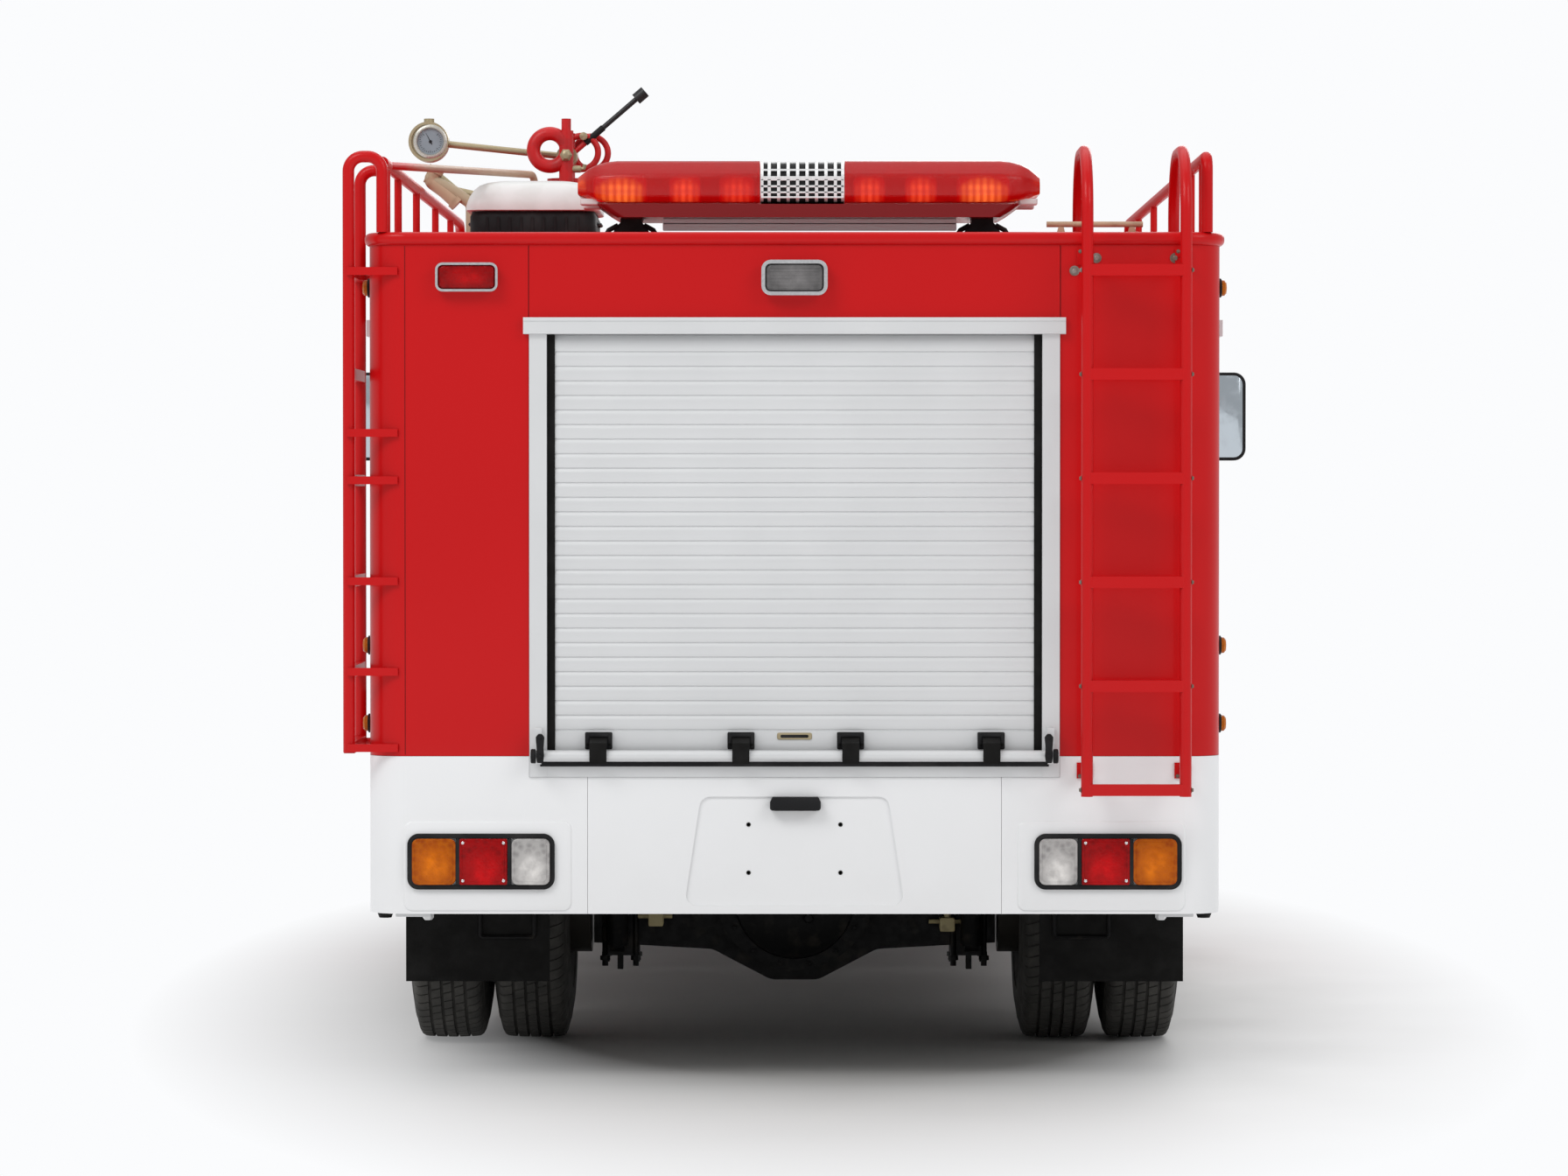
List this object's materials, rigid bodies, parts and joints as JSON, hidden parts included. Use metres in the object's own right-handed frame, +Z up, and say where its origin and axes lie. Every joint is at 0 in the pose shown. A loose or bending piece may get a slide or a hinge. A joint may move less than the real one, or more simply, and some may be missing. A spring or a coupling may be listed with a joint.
{
  "type": "light crew-cab fire engine",
  "caption": "Light crew-cab fire engine with roller-shutter equipment body, roof monitor, light bar, ladders, hinged cab doors and steered front wheels.",
  "frame": {"origin": "on the ground at the centre of the overall plan box", "axes": "+X right, +Y forward out of the cab's front, +Z up"},
  "size_m": [2.88, 5.721, 2.3789],
  "materials": {
    "red_paint": "gloss",
    "white_paint": "gloss",
    "white_plastic": "gloss",
    "shutter_aluminium": "satin",
    "dark_steel": "satin",
    "cast_engine": "rough",
    "wheel_steel": "satin",
    "tyre_rubber": "matte",
    "flap_rubber": "matte",
    "black_plastic": "matte",
    "lamp_lens": "gloss",
    "clear_lens": "clear",
    "window_glass": "clear",
    "seat_cloth": "woven",
    "floor_panel": "chequered",
    "nozzle_brass": "satin"
  },
  "bodies": {
    "root": {"body_floor": "floor_panel", "body_roof": "red_paint", "cab_floor": "black_plastic", "cab_shell": "red_paint", "chassis_rails": "dark_steel", "cross_members": "dark_steel", "dashboard": "black_plastic", "engine_block": "cast_engine", "front_axle": "dark_steel", "front_bumper": "white_paint", "front_grille": "black_plastic", "fuel_tank": "dark_steel", "headlamps": "clear_lens", "leaf_springs": "dark_steel", "lift_bar": "shutter_aluminium", "light_bar_base": "black_plastic", "light_bar_lens": "lamp_lens", "lower_panels": "white_paint", "marker_lamps": "lamp_lens", "monitor_base": "red_paint", "mud_flaps": "flap_rubber", "propeller_shaft": "dark_steel", "rear_axle": "dark_steel", "rear_ladder": "red_paint", "rear_panels": "red_paint", "rear_shutter": "shutter_aluminium", "roof_box": "white_plastic", "roof_rails": "red_paint", "seats": "seat_cloth", "shutter_buckles": "black_plastic", "shutter_frames": "shutter_aluminium", "side_ladder": "red_paint", "side_panels": "red_paint", "side_shutters": "shutter_aluminium", "tail_lamps": "black_plastic", "tail_lenses": "lamp_lens", "windscreen": "window_glass"},
    "front_door_left": {"door_front_left": "red_paint", "glass_front_left": "window_glass", "mirror_left": "black_plastic"},
    "rear_door_left": {"door_rear_left": "red_paint", "glass_rear_left": "window_glass"},
    "steering_left": {"knuckle_left": "dark_steel"},
    "front_wheel_left": {"rim_front_left": "wheel_steel", "tyre_front_left": "tyre_rubber"},
    "rear_wheel_left": {"rim_rear_left": "wheel_steel", "tyres_rear_left": "tyre_rubber"},
    "front_door_right": {"door_front_right": "red_paint", "glass_front_right": "window_glass", "mirror_right": "black_plastic"},
    "rear_door_right": {"door_rear_right": "red_paint", "glass_rear_right": "window_glass"},
    "steering_right": {"knuckle_right": "dark_steel"},
    "front_wheel_right": {"rim_front_right": "wheel_steel", "tyre_front_right": "tyre_rubber"},
    "rear_wheel_right": {"rim_rear_right": "wheel_steel", "tyres_rear_right": "tyre_rubber"},
    "monitor_turret": {"monitor_head": "red_paint"},
    "monitor_nozzle": {"monitor_barrel": "nozzle_brass"}
  },
  "joints": [
    {"name": "steer_left", "type": "hinge", "parent": "root", "child": "steering_left", "pos_m": [-0.652, 1.7605, 0.37], "axis": [0, 0, 1], "range_deg": [-35, 35]},
    {"name": "steer_right", "type": "hinge", "parent": "root", "child": "steering_right", "pos_m": [0.652, 1.7605, 0.37], "axis": [0, 0, 1], "range_deg": [-35, 35]},
    {"name": "front_wheel_spin_left", "type": "hinge", "parent": "steering_left", "child": "front_wheel_left", "pos_m": [-0.795, 1.7605, 0.37], "axis": [-1, 0, 0], "continuous": true},
    {"name": "front_wheel_spin_right", "type": "hinge", "parent": "steering_right", "child": "front_wheel_right", "pos_m": [0.795, 1.7605, 0.37], "axis": [-1, 0, 0], "continuous": true},
    {"name": "rear_wheel_spin_left", "type": "hinge", "parent": "root", "child": "rear_wheel_left", "pos_m": [-0.7455, -1.5895, 0.37], "axis": [-1, 0, 0], "continuous": true},
    {"name": "rear_wheel_spin_right", "type": "hinge", "parent": "root", "child": "rear_wheel_right", "pos_m": [0.7455, -1.5895, 0.37], "axis": [-1, 0, 0], "continuous": true},
    {"name": "front_door_hinge_left", "type": "hinge", "parent": "root", "child": "front_door_left", "pos_m": [-0.93, 2.5115, 1.1], "axis": [0, 0, -1], "range_deg": [0, 70]},
    {"name": "rear_door_hinge_left", "type": "hinge", "parent": "root", "child": "rear_door_left", "pos_m": [-0.93, 1.4415, 1.1], "axis": [0, 0, -1], "range_deg": [0, 70]},
    {"name": "front_door_hinge_right", "type": "hinge", "parent": "root", "child": "front_door_right", "pos_m": [0.93, 2.5115, 1.1], "axis": [0, 0, 1], "range_deg": [0, 70]},
    {"name": "rear_door_hinge_right", "type": "hinge", "parent": "root", "child": "rear_door_right", "pos_m": [0.93, 1.4415, 1.1], "axis": [0, 0, 1], "range_deg": [0, 70]},
    {"name": "monitor_yaw", "type": "hinge", "parent": "root", "child": "monitor_turret", "pos_m": [-0.572, -1.4395, 2.118], "axis": [0, 0, 1], "range_deg": [-180, 180]},
    {"name": "monitor_pitch", "type": "hinge", "parent": "monitor_turret", "child": "monitor_nozzle", "pos_m": [-0.572, -1.4395, 2.2], "axis": [0, 1, 0], "range_deg": [0, 70]}
  ],
  "couplings": [
    {"joint": "steer_right", "follows": "steer_left", "ratio": 1}
  ]
}
